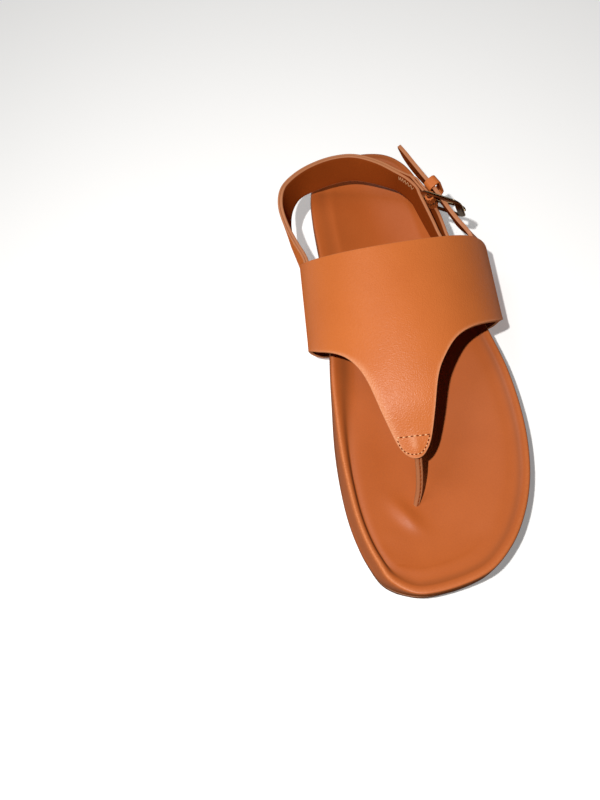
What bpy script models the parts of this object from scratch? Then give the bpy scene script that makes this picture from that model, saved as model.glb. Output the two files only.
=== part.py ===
"""Toe post sandal, left foot: outsole, footbed, one hollow leather upper and its fastened buckle.

Millimetres throughout, scaled to metres as each mesh is written. The toe points along -Y,
the big-toe side lies towards -X, and the tread rests on Z = 0. Stations run forward from
the heel end of the sole.
"""

import math

import bmesh
import bpy
import numpy as np
from mathutils import Matrix, Vector

MM = 0.001

# Sole outline: length, then half-widths either side of the long axis at each station
SOLE_LENGTH = 258.0
OUTLINE = (  # station, big-toe side, outer side
    (3.2, 19.0, 10.5),
    (12.5, 30.8, 20.6),
    (27.0, 35.6, 27.3),
    (46.0, 36.3, 31.8),
    (70.0, 35.0, 36.0),
    (96.0, 34.1, 41.6),
    (124.0, 35.1, 47.8),
    (152.0, 37.4, 54.4),
    (180.0, 38.9, 56.6),
    (204.0, 37.9, 54.1),
    (224.0, 34.9, 47.5),
    (241.0, 29.2, 36.7),
    (252.5, 21.0, 22.0),
)
HEEL_TIP_X = -4.5
TOE_TIP_X = -0.5
ROWS = 44

# Toe spring: the sole is flat behind SPRING_START and curls up ahead of it
SPRING_START = -35.0
SPRING_RATE = 0.00125

# Outsole: slab, the shallow recess above it, and the ridge lattice of its tread
SLAB_TOP = 5.6
SLAB_BEVEL = 0.6
RECESS_TOP = 7.8
RECESS_INSET = 2.0
POCKET_INSET = 14.0
POCKETS = ((-6.0, 80.0), (-8.0, 68.0))  # front and back y of the vamp's margin, on each side
PITCH = 11.5
RIDGE = 0.9
PIT_DEPTH = 3.0
PIT_BELOW = 0.25
TREAD_TURN = math.radians(42.0)
TREAD_ORIGIN = (-1.0, 92.0)

# Footbed: leather-wrapped wall with a rolled rim round a dished insole
FOOTBED_BASE = 8.1
FOOTBED = (  # station, rim height big-toe side, rim height outer side, height at the centre
    (0.0, 25.0, 25.0, 24.0),
    (12.0, 25.0, 24.8, 20.6),
    (28.0, 25.0, 24.4, 17.8),
    (60.0, 25.6, 23.6, 17.6),
    (95.0, 27.0, 22.6, 19.6),
    (125.0, 25.0, 21.6, 19.2),
    (150.0, 21.8, 20.2, 17.2),
    (180.0, 19.6, 19.0, 15.4),
    (210.0, 18.5, 18.2, 14.6),
    (238.0, 18.0, 18.0, 14.8),
    (258.0, 18.0, 18.0, 16.4),
)
WALL = (  # inset from the outline, share of the way from base to rim, drop in mm
    (1.8, 0.0, 0.0),
    (0.5, 0.0, -0.5),
    (0.0, 0.0, -2.2),
    (0.1, 0.5, 0.0),
    (0.8, 1.0, 3.0),
    (1.9, 1.0, 1.1),
    (3.6, 1.0, 0.1),
    (5.3, 1.0, 0.6),
    (6.6, 1.0, 1.9),
)
DISH = (0.12, 0.3, 0.52, 0.76, 1.0)
DISH_POWER = 1.8
DISH_WIDTH = 26.0
SOCKET_GAP = 0.3

# Vamp: sections lie in planes that lean back from the vertical; q numbers those planes
LEATHER = 1.9
LEAN = 0.55
LEAN_BASE = 12.0
SIDE_INNER = -47.0
SIDE_OUTER = 57.5
SIDE_HEIGHT = 18.0
MARGIN = 11.0
CROWN = ((-56.0, 36.5), (-42.0, 41.5), (-24.0, 48.0), (7.0, 54.5), (35.0, 58.0), (64.0, 60.0))
VAMP_EDGES = (  # x, q of the front edge, q of the back edge
    (-47.0, 7.2, 63.0),
    (-44.0, 7.0, 62.4),
    (-38.5, 6.6, 62.4),
    (-33.0, 5.7, 62.4),
    (-27.0, 3.0, 62.4),
    (-22.5, -1.7, 62.4),
    (-19.0, -7.6, 62.4),
    (-16.2, -16.0, 62.4),
    (-14.0, -25.0, 62.4),
    (-12.0, -32.5, 62.4),
    (-10.4, -38.0, 62.4),
    (-9.0, -43.0, 62.4),
    (-7.4, -48.0, 62.4),
    (-5.0, -51.8, 62.4),
    (-2.0, -54.2, 62.4),
    (1.0, -54.9, 62.4),
    (4.0, -53.3, 62.4),
    (6.6, -49.8, 62.4),
    (8.2, -46.0, 62.4),
    (9.6, -40.6, 62.4),
    (11.0, -34.0, 62.4),
    (12.5, -26.9, 62.4),
    (14.2, -18.0, 62.4),
    (16.4, -10.0, 62.4),
    (19.4, -4.5, 62.4),
    (23.4, 1.6, 62.4),
    (27.6, 6.1, 62.4),
    (33.5, 9.2, 62.4),
    (41.0, 10.6, 62.2),
    (48.0, 10.6, 61.0),
    (53.0, 10.2, 58.6),
    (56.4, 9.8, 55.0),
    (57.5, 9.2, 52.0),
)
VAMP_ROWS = 12
OUTER_SET_BACK = 3.0

# Toe post: x, y, z, half width, half depth
POST = (
    (1.3, -62.5, 38.6, 3.4, 3.0),
    (1.4, -67.5, 33.4, 2.6, 2.6),
    (1.0, -74.0, 27.6, 2.2, 2.3),
    (-0.4, -80.5, 22.0, 2.1, 2.2),
    (-1.8, -85.5, 17.5, 2.1, 2.2),
    (-2.6, -89.0, 13.2, 2.1, 2.2),
)

# Straps: each row is a point on the low edge and the point facing it on the top edge
STRAP = 2.5
HEEL_STRAP = (  # low edge x, y, z, then top edge x, y, z
    (-46.0, 46.0, 14.5, -43.2, 44.0, 31.0),
    (-46.1, 55.0, 16.0, -43.0, 53.0, 33.0),
    (-48.2, 64.0, 18.6, -47.2, 62.5, 35.6),
    (-50.5, 73.0, 22.0, -51.0, 72.0, 39.0),
    (-51.0, 83.0, 25.0, -53.3, 83.5, 42.5),
    (-48.6, 92.5, 27.0, -51.2, 94.0, 44.5),
    (-42.5, 100.6, 28.0, -44.6, 101.4, 45.0),
    (-32.5, 104.4, 28.0, -34.0, 107.4, 45.0),
    (-20.0, 106.6, 28.5, -20.5, 110.6, 45.0),
    (-8.0, 106.0, 29.0, -7.0, 109.4, 45.0),
    (4.0, 100.8, 29.4, 5.5, 102.4, 45.2),
    (13.4, 94.4, 30.6, 14.8, 93.2, 45.8),
    (19.8, 89.0, 33.0, 20.4, 87.4, 47.0),
)
BRANCH = (  # low edge x, y, z, then top edge x, y, z
    (11.4, 94.2, 30.6, 12.4, 94.0, 43.6),
    (19.0, 87.2, 29.0, 21.4, 84.6, 43.7),
    (24.4, 77.0, 27.6, 26.1, 72.4, 41.0),
    (27.3, 66.6, 26.4, 29.0, 62.2, 37.6),
    (30.6, 55.2, 25.2, 31.6, 51.4, 35.4),
    (36.8, 44.2, 24.6, 36.8, 41.8, 34.2),
    (44.8, 33.5, 23.6, 44.2, 31.5, 33.0),
    (51.8, 24.0, 22.6, 50.8, 22.5, 31.6),
    (56.2, 14.5, 21.6, 54.1, 13.5, 30.6),
    (56.4, 8.0, 20.8, 54.4, 7.0, 29.6),
)

# Buckle: its bar's centre and the direction the strap runs back across it
BAR = Vector((30.0, 71.5, 41.9))
RUN = Vector((-0.43, 0.9, 0.05)).normalized()
UPRIGHT = Vector((-0.27, -0.16, 0.95))
FRAME_REACH = 16.5
FRAME_HALF = 8.6
FRAME_RADIUS = 1.15
FRAME_RISE = 5.8
FRAME_CORNER = 3.0
TAB_HALF = 6.0
TAB_STEPS = (14.0, 10.0, 5.0, 0.0)
KNUCKLE = 2.5
BAR_PLAY = 0.3
PRONG_RADIUS = 0.8
EYE_RADIUS = 0.6
SLOT = ((7.2, 6.4, 2.6), (-0.4, 0.0, 0.0))  # through the knuckle: size, then place of its middle
HOLE = ((9.8, 6.4, 2.3), (-7.1, 5.0, 0.0))  # through the buckle strap, for the prong
BUCKLE_STRAP = (  # along the run from the bar, outward at low and at top edge, up, half width
    (34.5, 5.2, 5.4, 6.6, 1.2),
    (29.0, 4.4, 5.4, 4.6, 4.0),
    (21.0, 4.3, 5.4, 2.0, 5.2),
    (12.0, 5.0, 5.4, 0.1, 5.5),
    (2.0, 5.3, 5.4, 0.0, 5.5),
    (-6.0, 4.9, 4.9, 0.0, 5.5),
    (-14.0, 4.3, 4.3, 0.0, 5.5),
    (-21.0, 4.1, 4.1, 0.0, 5.5),
)
BUCKLE_STRAP_FOOT = (  # low edge x, y, z, then top edge x, y, z
    (51.9, 47.5, 33.6, 46.2, 46.2, 43.6),
    (53.3, 40.0, 32.0, 46.4, 38.6, 43.0),
    (53.8, 32.0, 31.4, 46.7, 30.0, 42.4),
)
BUCKLE_LEATHER = 2.2
KEEPER_ALONG = (2.7, 8.3)
KEEPER_OUTWARD = (2.65, 7.4)
KEEPER_HALF = 5.9
KEEPER_WALL = 1.1
KEEPER_CORNER = 1.0


def rows_at(table, at):
    """Catmull-Rom values of a table's later columns at a value of its first column."""
    table = np.asarray(table, float)
    keys = table[:, 0]
    at = min(max(at, keys[0]), keys[-1])
    low = min(int(np.searchsorted(keys, at, side="right")) - 1, len(keys) - 2)
    before, after = max(low - 1, 0), min(low + 2, len(keys) - 1)
    span = keys[low + 1] - keys[low]
    u = (at - keys[low]) / span
    start, end = table[low, 1:], table[low + 1, 1:]
    slope_start = (end - table[before, 1:]) / (keys[low + 1] - keys[before]) * span
    slope_end = (table[after, 1:] - start) / (keys[after] - keys[low]) * span
    return (
        (2 * u**3 - 3 * u**2 + 1) * start
        + (u**3 - 2 * u**2 + u) * slope_start
        + (3 * u**2 - 2 * u**3) * end
        + (u**3 - u**2) * slope_end
    )


def smooth(points, per_span):
    """The points of a short table with per_span steps between each two, on one smooth run."""
    table = [(float(i), *row) for i, row in enumerate(points)]
    steps = (len(table) - 1) * per_span
    return [rows_at(table, i / per_span) for i in range(steps + 1)]


def sole_side(column, sign):
    """Plan points of one side of the sole, heel tip to toe tip, evenly spread by length."""
    half = SOLE_LENGTH / 2
    ends = [(HEEL_TIP_X, half)], [(TOE_TIP_X, -half)]
    other = 3 - column
    body = [(sign * row[column], half - row[0]) for row in OUTLINE]
    lead = (-sign * OUTLINE[0][other], half - OUTLINE[0][0])
    tail = (-sign * OUTLINE[-1][other], half - OUTLINE[-1][0])
    control = np.array([lead, *ends[0], *body, *ends[1], tail])
    lengths = np.linalg.norm(np.diff(control, axis=0), axis=1)
    keys = np.concatenate([[0.0], np.cumsum(np.sqrt(lengths))])
    table = np.column_stack([keys, control])
    fine = np.array([rows_at(table, k) for k in np.linspace(keys[1], keys[-2], 800)])
    along = np.concatenate([[0.0], np.cumsum(np.linalg.norm(np.diff(fine, axis=0), axis=1))])
    turn = np.linspace(0.0, math.pi, ROWS + 1)
    share = 0.45 * (1 - np.cos(turn)) / 2 + 0.55 * turn / math.pi
    points = [np.array([np.interp(s * along[-1], along, fine[:, i]) for s in share]) for i in (0, 1)]
    return np.column_stack(points)


def inset_normals(side, sign):
    """Unit plan vectors pointing from one side of the outline into the sole."""
    along = np.gradient(side, axis=0)
    along[0] = (sign, 0.0)
    along[-1] = (-sign, 0.0)
    normals = np.column_stack([sign * along[:, 1], -sign * along[:, 0]])
    return normals / np.linalg.norm(normals, axis=1)[:, None]


SIDES = (sole_side(1, -1), sole_side(2, 1))
INWARD = (inset_normals(SIDES[0], -1), inset_normals(SIDES[1], 1))


def spring(y):
    """How far the sole has curled up at a given y."""
    return SPRING_RATE * max(0.0, SPRING_START - y) ** 2


def half_width(side, y):
    """Distance of the sole's edge from the long axis on one side at a given y."""
    points = SIDES[side]
    return abs(float(np.interp(-y, -points[:, 1], points[:, 0])))


def edge_point(side, row, inset, z):
    """A point inset from the outline; deep insets near the ends stop at the middle."""
    x, y = SIDES[side][row] + INWARD[side][row] * inset
    return np.array([x, y, z + spring(y)])


def new_object(name, bm, collection):
    """A mesh object in metres, made from a mesh drawn in millimetres."""
    bmesh.ops.scale(bm, vec=(MM, MM, MM), verts=bm.verts)
    mesh = bpy.data.meshes.new(name)
    bm.to_mesh(mesh)
    bm.free()
    obj = bpy.data.objects.new(name, mesh)
    collection.objects.link(obj)
    return obj


def grid_mesh(points, merge):
    """A grid of faces through rows of points, its coincident edges merged when asked."""
    points = np.asarray(points, float)
    bm = bmesh.new()
    bmesh.ops.create_grid(bm, x_segments=points.shape[1] - 1, y_segments=points.shape[0] - 1, size=1)
    for vert, point in zip(bm.verts, points.reshape(-1, 3)):
        vert.co = point
    if merge:
        bmesh.ops.remove_doubles(bm, verts=bm.verts, dist=0.001)
        bmesh.ops.recalc_face_normals(bm, faces=bm.faces)
    return bm


def solid(name, points, collection):
    """A closed body whose sections are rings of points, one row to a section."""
    rings = [np.vstack([ring, ring[:1]]) for ring in np.asarray(points, float)]
    bm = grid_mesh(rings, merge=True)
    gaps = [edge for edge in bm.edges if edge.is_boundary]
    bmesh.ops.holes_fill(bm, edges=gaps, sides=0)
    bmesh.ops.recalc_face_normals(bm, faces=bm.faces)
    return new_object(name, bm, collection)


def leather(name, points, thickness, collection):
    """A sheet whose outer face runs through rows of points."""
    obj = new_object(name, grid_mesh(points, merge=False), collection)
    modifier = obj.modifiers.new("Thickness", "SOLIDIFY")
    modifier.thickness = thickness * MM
    modifier.offset = -1.0
    modifier.use_even_offset = True
    return obj


def strap_rows(edges, per_span, columns):
    """Rows across a strap from its low edge to its top edge."""
    rows = []
    for row in smooth(edges, per_span):
        rows.append([row[:3] + (row[3:] - row[:3]) * i / (columns - 1) for i in range(columns)])
    return rows


def combine(target, other, operation):
    """Adds, or cuts away, one body from another, and takes it out of sight."""
    modifier = target.modifiers.new(other.name, "BOOLEAN")
    modifier.operation = operation
    modifier.solver = "EXACT"
    modifier.object = other
    other.hide_render = True
    other.display_type = "WIRE"


def paint(obj, colour, roughness, metallic):
    """Gives an object its own plain material."""
    material = bpy.data.materials.new(obj.name)
    material.use_nodes = True
    surface = material.node_tree.nodes["Principled BSDF"]
    surface.inputs["Base Color"].default_value = (*colour, 1.0)
    surface.inputs["Roughness"].default_value = roughness
    surface.inputs["Metallic"].default_value = metallic
    obj.data.materials.append(material)


def in_buckle(along, outward, up):
    """A point of the buckle's own frame: back along the run, outward and up from the bar."""
    return BAR + RUN * along + OUT * outward + UP * up


for old in list(bpy.data.objects):
    bpy.data.objects.remove(old)
parts = bpy.data.collections.new("toe_post_sandal")
cutters = bpy.data.collections.new("cutters")
bpy.context.scene.collection.children.link(parts)
bpy.context.scene.collection.children.link(cutters)

UP = (UPRIGHT - RUN * UPRIGHT.dot(RUN)).normalized()
OUT = RUN.cross(UP)

# Outsole: one rubber slab with a recess under the footbed and a pocket for the vamp's margins
sections = []
for row in range(ROWS + 1):
    ring = []
    for side in (0, 1):
        y = SIDES[side][row][1]
        pocket = POCKETS[side][0] < y < POCKETS[side][1]
        inset = POCKET_INSET if pocket else RECESS_INSET
        profile = (
            (SLAB_BEVEL, 0.0),
            (0.0, SLAB_BEVEL),
            (0.0, SLAB_TOP - SLAB_BEVEL),
            (SLAB_BEVEL, SLAB_TOP),
            (inset, SLAB_TOP),
            (inset, RECESS_TOP),
        )
        points = [edge_point(side, row, depth, z) for depth, z in profile]
        ring.extend(points if side == 0 else reversed(points))
    sections.append(ring)
outsole = solid("outsole", sections, parts)
flatten = outsole.modifiers.new("Flat faces", "DECIMATE")
flatten.decimate_type = "DISSOLVE"
flatten.angle_limit = math.radians(0.02)

pits = bmesh.new()
pit_height = PIT_DEPTH + PIT_BELOW
half_base = (PITCH - RIDGE) / 2 * pit_height / PIT_DEPTH
reach = int(SOLE_LENGTH / PITCH) + 1
for i in range(-reach, reach):
    for j in range(-reach, reach):
        turned = Matrix.Rotation(TREAD_TURN, 2) @ Vector(((i + 0.5) * PITCH, (j + 0.5) * PITCH))
        x = TREAD_ORIGIN[0] + turned.x
        y = TREAD_ORIGIN[1] + turned.y
        if abs(y) > SOLE_LENGTH / 2 + 4 or not -half_width(0, y) - 5 < x < half_width(1, y) + 5:
            continue
        slope = -2 * SPRING_RATE * max(0.0, SPRING_START - y)
        place = (
            Matrix.Translation((x, y, spring(y) - PIT_BELOW))
            @ Matrix.Rotation(math.atan(slope), 4, "X")
            @ Matrix.Rotation(TREAD_TURN + math.pi / 4, 4, "Z")
            @ Matrix.Translation((0.0, 0.0, pit_height / 2))
        )
        bmesh.ops.create_cone(
            pits,
            cap_ends=True,
            segments=4,
            radius1=half_base * math.sqrt(2),
            radius2=0.0,
            depth=pit_height,
            matrix=place,
        )
combine(outsole, new_object("tread_pits", pits, cutters), "DIFFERENCE")

# Footbed: a board wrapped in leather, its wall upright, its rim rolled and its top dished
sections = []
for row in range(ROWS + 1):
    sides = []
    for side in (0, 1):
        station = SOLE_LENGTH / 2 - SIDES[side][row][1]
        rim = rows_at(FOOTBED, station)[side]
        points = []
        for inset, share, drop in WALL:
            z = FOOTBED_BASE + (rim - FOOTBED_BASE) * share - drop
            points.append(edge_point(side, row, inset, z))
        sides.append(points)
    inner, outer = sides
    middle = (inner[-1] + outer[-1]) / 2
    width = np.linalg.norm(inner[-1][:2] - outer[-1][:2])
    floor = rows_at(FOOTBED, SOLE_LENGTH / 2 - middle[1])[2] + spring(middle[1])
    middle[2] += (floor - middle[2]) * min(1.0, width / DISH_WIDTH)
    across = []
    for edge in (inner[-1], outer[-1]):
        points = [edge + (middle - edge) * share for share in DISH]
        for point, share in zip(points, DISH):
            point[2] = middle[2] + (edge[2] - middle[2]) * (1 - share) ** DISH_POWER
        across.append(points)
    ring = inner + across[0] + across[1][-2::-1] + outer[::-1]
    sections.append(ring)
footbed = solid("footbed", sections, parts)

# Upper, part one: the vamp with its tongue, drawn in tight to the sole on both sides
MIDDLE = (SIDE_INNER + SIDE_OUTER) / 2
SPAN = (SIDE_OUTER - SIDE_INNER) / 2


def vamp_point(x, q):
    """A point on the vamp's outer face, given x and the number of its leaning plane."""
    share = min(1.0, abs(x - MIDDLE) / SPAN)
    crown = rows_at(CROWN, q)[0]
    z = SIDE_HEIGHT + (crown - SIDE_HEIGHT) * math.sqrt(1 - share**2)
    return (x, q - LEAN * (z - LEAN_BASE), z)


MARGIN_Z = SLAB_TOP + 0.3
TUCK = (  # outset from the sole's edge, share of the way to the side, height, front edge, back trim
    (-MARGIN, 0.0, MARGIN_Z, 1.5, 2.0),
    (-4.0, 0.0, MARGIN_Z, 1.0, 0.6),
    (0.8, 0.0, MARGIN_Z + 0.3, 1.0, 0.0),
    (0.3, 0.4, 7.5, 1.6, 0.0),
    (0.0, 0.78, 9.6, 3.4, 0.0),
    (0.0, 0.97, 13.4, 6.0, 0.0),
)


def tuck_points(side, q_shift, q_back, share):
    """The column of points that carries the vamp's side under the footbed, at one depth."""
    points = []
    wall = (-SIDE_INNER, SIDE_OUTER)[side]
    sign = (-1, 1)[side]
    for outset, way, z, front, trim in TUCK:
        q = front + q_shift + (q_back - trim - front - q_shift) * share
        y = q - LEAN * (z - LEAN_BASE)
        edge = half_width(side, y)
        points.append((sign * (edge + outset + (wall - edge) * way), y, z))
    return points


rows = []
for i in range(VAMP_ROWS + 1):
    share = i / VAMP_ROWS
    inner = tuck_points(0, 0.0, VAMP_EDGES[0][2], share)
    outer = tuck_points(1, OUTER_SET_BACK, VAMP_EDGES[-1][2], share)
    top = [vamp_point(x, front + (back - front) * share) for x, front, back in VAMP_EDGES]
    rows.append(inner + top + outer[::-1])
upper = leather("upper", rows, LEATHER, parts)

# Upper, part two: the toe post that ties the tongue to the footbed
ROUND = [2 * math.pi * i / 14 for i in range(14)]


def post_ring(x, y, z, wide, deep):
    """One level section of the toe post."""
    return [(x + wide * math.cos(a), y + deep * math.sin(a), z) for a in ROUND]


post = solid("toe_post", [post_ring(*row) for row in smooth(POST, 2)], cutters)
combine(upper, post, "UNION")
socket_rows = [(*row[:3], row[3] + SOCKET_GAP, row[4] + SOCKET_GAP) for row in smooth(POST, 2)]
socket_rows.append((*(np.array(socket_rows[-1][:3]) + (-0.1, -0.4, -SOCKET_GAP)), *socket_rows[-1][3:]))
socket = solid("post_socket", [post_ring(*row) for row in socket_rows], cutters)
combine(footbed, socket, "DIFFERENCE")

# Upper, part three: heel strap, its lower branch, and the strap the buckle takes up
tab = []
for along in TAB_STEPS:
    low = in_buckle(along, STRAP / 2, -TAB_HALF)
    top = in_buckle(along, STRAP / 2, TAB_HALF)
    tab.append((*low, *top))
heel_strap = leather("heel_strap", strap_rows(HEEL_STRAP + tuple(tab), 2, 3), STRAP, cutters)
combine(upper, heel_strap, "UNION")
branch = leather("lower_branch", strap_rows(BRANCH, 2, 3), STRAP, cutters)
combine(upper, branch, "UNION")
run = []
for along, low_out, top_out, up, half in BUCKLE_STRAP:
    low = in_buckle(along, low_out, up - half)
    top = in_buckle(along, top_out, up + half)
    run.append((*low, *top))
rows = strap_rows(tuple(run) + BUCKLE_STRAP_FOOT, 2, 3)
buckle_strap = leather("buckle_strap", rows, BUCKLE_LEATHER, cutters)
combine(upper, buckle_strap, "UNION")

TURNED = Matrix((RUN, -OUT, UP)).transposed()


def buckle_place(along, outward, up):
    """Where a primitive goes: its X runs back along the strap and its Z up."""
    return Matrix.Translation(in_buckle(along, outward, up)) @ TURNED.to_4x4()


def rod(name, radius, length, place, collection):
    """A round bar standing on the placed Z axis."""
    bm = bmesh.new()
    bmesh.ops.create_cone(
        bm,
        cap_ends=True,
        segments=20,
        radius1=radius,
        radius2=radius,
        depth=length,
        matrix=place,
    )
    return new_object(name, bm, collection)


def block(name, size, place, collection):
    """A box of a given size about the placed origin."""
    bm = bmesh.new()
    bmesh.ops.create_cube(bm, size=1.0, matrix=place @ Matrix.Diagonal((*size, 1.0)))
    return new_object(name, bm, collection)


knuckle = rod("knuckle", KNUCKLE, 1.9 * TAB_HALF, buckle_place(0, 0, 0), cutters)
combine(upper, knuckle, "UNION")
bore = rod("bar_bore", FRAME_RADIUS + BAR_PLAY, 3 * TAB_HALF, buckle_place(0, 0, 0), cutters)
combine(upper, bore, "DIFFERENCE")
for name, (size, middle) in (("prong_slot", SLOT), ("prong_hole", HOLE)):
    combine(upper, block(name, size, buckle_place(*middle), cutters), "DIFFERENCE")


def wire(name, points, radius, closed, collection):
    """A round wire along a run of points."""
    curve = bpy.data.curves.new(name, "CURVE")
    curve.dimensions = "3D"
    curve.bevel_depth = radius * MM
    curve.bevel_resolution = 3
    curve.use_fill_caps = True
    spline = curve.splines.new("POLY")
    spline.points.add(len(points) - 1)
    for knot, point in zip(spline.points, points):
        knot.co = (*(Vector(point) * MM), 1.0)
    spline.use_cyclic_u = closed
    guide = bpy.data.objects.new(name, curve)
    mesh = bpy.data.meshes.new_from_object(guide)
    bpy.data.objects.remove(guide)
    obj = bpy.data.objects.new(name, mesh)
    collection.objects.link(obj)
    return obj


def rounded(centre, half, corner, steps):
    """A rounded rectangle as plane points, anticlockwise from its lower right corner."""
    points = []
    for turn, (sx, sy) in enumerate(((1, -1), (1, 1), (-1, 1), (-1, -1))):
        for step in range(steps + 1):
            angle = math.pi / 2 * (turn - 1 + step / steps)
            x = centre[0] + sx * (half[0] - corner) + corner * math.cos(angle)
            y = centre[1] + sy * (half[1] - corner) + corner * math.sin(angle)
            points.append((x, y))
    return points


# Buckle: a wire frame whose near side is the bar, and a prong lying over its far side
track = rounded((-FRAME_REACH / 2, 0.0), (FRAME_REACH / 2, FRAME_HALF), FRAME_CORNER, 4)
path = [in_buckle(x, -FRAME_RISE * x / FRAME_REACH, y) for x, y in track]
buckle_frame = wire("buckle_frame", path, FRAME_RADIUS, True, parts)
eye_reach = FRAME_RADIUS + BAR_PLAY + EYE_RADIUS
eye_path = [in_buckle(eye_reach * math.cos(a), eye_reach * math.sin(a), 0) for a in ROUND]
eye = wire("prong_eye", eye_path, EYE_RADIUS, True, cutters)
lift = FRAME_RISE + FRAME_RADIUS + PRONG_RADIUS + 0.25
prong_path = (
    (-0.4, eye_reach, 0.0),
    (-3.0, eye_reach + 0.25, 0.0),
    (-11.0, lift - 1.2, 0.0),
    (-14.6, lift, 0.0),
    (-18.2, lift - 0.1, 0.0),
)
prong = wire("buckle_prong", [in_buckle(*p) for p in prong_path], PRONG_RADIUS, False, parts)
combine(prong, eye, "UNION")

# Keeper: a wide leather loop that slides on the buckle strap
thin = (KEEPER_OUTWARD[1] - KEEPER_OUTWARD[0]) / 2
loops = []
for grow, end in ((0, 0), (KEEPER_WALL, 0), (KEEPER_WALL, 1), (0, 1), (0, 0)):
    middle = (KEEPER_OUTWARD[0] + thin, 0.0)
    ring = rounded(middle, (thin + grow, KEEPER_HALF + grow), KEEPER_CORNER + grow, 4)
    loops.append([in_buckle(KEEPER_ALONG[end], x, y) for x, y in ring])
keeper = solid("strap_keeper", loops, parts)

# The parts share one frame: its origin is the middle of their footprint, on the ground
made = [outsole, footbed, upper, buckle_frame, prong, keeper]
corners = [vert.co for obj in made + [heel_strap, buckle_strap] for vert in obj.data.vertices]
low = [min(co[axis] for co in corners) for axis in (0, 1)]
high = [max(co[axis] for co in corners) for axis in (0, 1)]
shift = Matrix.Translation((-(low[0] + high[0]) / 2, -(low[1] + high[1]) / 2, 0.0))
for obj in list(parts.objects) + list(cutters.objects):
    obj.data.transform(shift)

LEATHER_COLOUR = (0.55, 0.21, 0.08)
paint(outsole, (0.35, 0.15, 0.07), 0.5, 0.0)
paint(footbed, LEATHER_COLOUR, 0.55, 0.0)
paint(upper, LEATHER_COLOUR, 0.5, 0.0)
paint(keeper, LEATHER_COLOUR, 0.5, 0.0)
paint(buckle_frame, (0.72, 0.55, 0.3), 0.25, 1.0)
paint(prong, (0.72, 0.55, 0.3), 0.25, 1.0)
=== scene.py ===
"""Looks of the toe post sandal, left foot: rubber, leather, thread and brass."""

import math

import bmesh
import bpy
import numpy as np
from mathutils import Matrix, Vector
from mathutils.bvhtree import BVHTree


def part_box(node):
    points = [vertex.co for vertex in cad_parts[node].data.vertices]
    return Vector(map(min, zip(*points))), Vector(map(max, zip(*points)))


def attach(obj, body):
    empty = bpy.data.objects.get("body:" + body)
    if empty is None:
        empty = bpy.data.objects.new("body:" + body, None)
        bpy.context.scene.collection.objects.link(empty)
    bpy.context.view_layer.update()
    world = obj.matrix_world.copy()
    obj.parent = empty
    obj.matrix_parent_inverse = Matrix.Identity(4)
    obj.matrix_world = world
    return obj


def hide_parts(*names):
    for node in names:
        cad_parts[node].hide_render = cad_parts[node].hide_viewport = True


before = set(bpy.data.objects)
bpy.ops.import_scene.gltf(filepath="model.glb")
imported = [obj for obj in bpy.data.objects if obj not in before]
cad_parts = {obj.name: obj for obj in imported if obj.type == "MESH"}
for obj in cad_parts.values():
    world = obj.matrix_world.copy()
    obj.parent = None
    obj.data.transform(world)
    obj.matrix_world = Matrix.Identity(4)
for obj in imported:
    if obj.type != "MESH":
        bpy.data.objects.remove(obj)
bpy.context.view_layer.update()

# ---------------------------------------------------------------- camera, light and floor
# The shoe is seen from above its toes, heel away, turned a little anticlockwise. One small
# lamp stands close to the camera's left, a broad one behind the big-toe side.
MM = 0.001
LENS = 29.25
EYE = Vector((-21.8, -155.1, 333.7)) * MM
SIGHT = Vector((-0.10776, 0.41691, -1.0)).normalized()
ROLL = 0.08817
right = SIGHT.cross(Vector((math.sin(ROLL), math.cos(ROLL), 0.0))).normalized()
camera_data = bpy.data.cameras.new("camera")
camera_data.lens = LENS
camera = bpy.data.objects.new("camera", camera_data)
axes = Matrix((right, right.cross(SIGHT), -SIGHT)).transposed()
camera.matrix_world = Matrix.Translation(EYE) @ axes.to_4x4()
bpy.context.scene.collection.objects.link(camera)
bpy.context.scene.camera = camera
bpy.context.scene.view_settings.view_transform = "Standard"


def lamp(name, direction, distance, size, power, colour):
    """A square lamp that looks at the shoe's middle from a direction."""
    data = bpy.data.lights.new(name, "AREA")
    data.size = size
    data.energy = power
    data.color = colour
    obj = bpy.data.objects.new(name, data)
    away = Vector(direction).normalized()
    obj.location = MIDST + away * distance
    obj.rotation_mode = "QUATERNION"
    obj.rotation_quaternion = away.to_track_quat("Z", "Y")
    bpy.context.scene.collection.objects.link(obj)


MIDST = Vector((10.0, -30.0, 40.0)) * MM
lamp("near_lamp", (-0.262, -0.265, 1.0), 0.5, 0.012, 3.05, (1.0, 0.985, 0.96))
lamp("broad_lamp", (-0.55, 0.5, 1.0), 0.9, 0.42, 2.0, (1.0, 0.99, 0.97))
world = bpy.data.worlds.new("studio")
world.use_nodes = True
world.node_tree.nodes["Background"].inputs["Color"].default_value = (1.0, 0.99, 0.98, 1.0)
world.node_tree.nodes["Background"].inputs["Strength"].default_value = 0.035
bpy.context.scene.world = world

FLOOR_REACH = 3000.0
FLOOR_DROP = 0.05  # keeps the tread and the floor from lying in one plane
floor_mesh = bmesh.new()
bmesh.ops.create_grid(floor_mesh, x_segments=1, y_segments=1, size=FLOOR_REACH * MM)
bmesh.ops.translate(floor_mesh, vec=(0.0, 0.0, -FLOOR_DROP * MM), verts=floor_mesh.verts)
floor_data = bpy.data.meshes.new("floor")
floor_mesh.to_mesh(floor_data)
floor_mesh.free()
floor = bpy.data.objects.new("floor", floor_data)
bpy.context.scene.collection.objects.link(floor)
floor_finish = bpy.data.materials.new("floor")
floor_finish.use_nodes = True
floor_surface = floor_finish.node_tree.nodes["Principled BSDF"]
floor_surface.inputs["Base Color"].default_value = (0.8, 0.8, 0.8, 1.0)
floor_surface.inputs["Emission Color"].default_value = (1.0, 1.0, 1.0, 1.0)
floor_surface.inputs["Emission Strength"].default_value = 0.25
floor_surface.inputs["Roughness"].default_value = 0.9
floor_surface.inputs["Specular IOR Level"].default_value = 0.1
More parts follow.
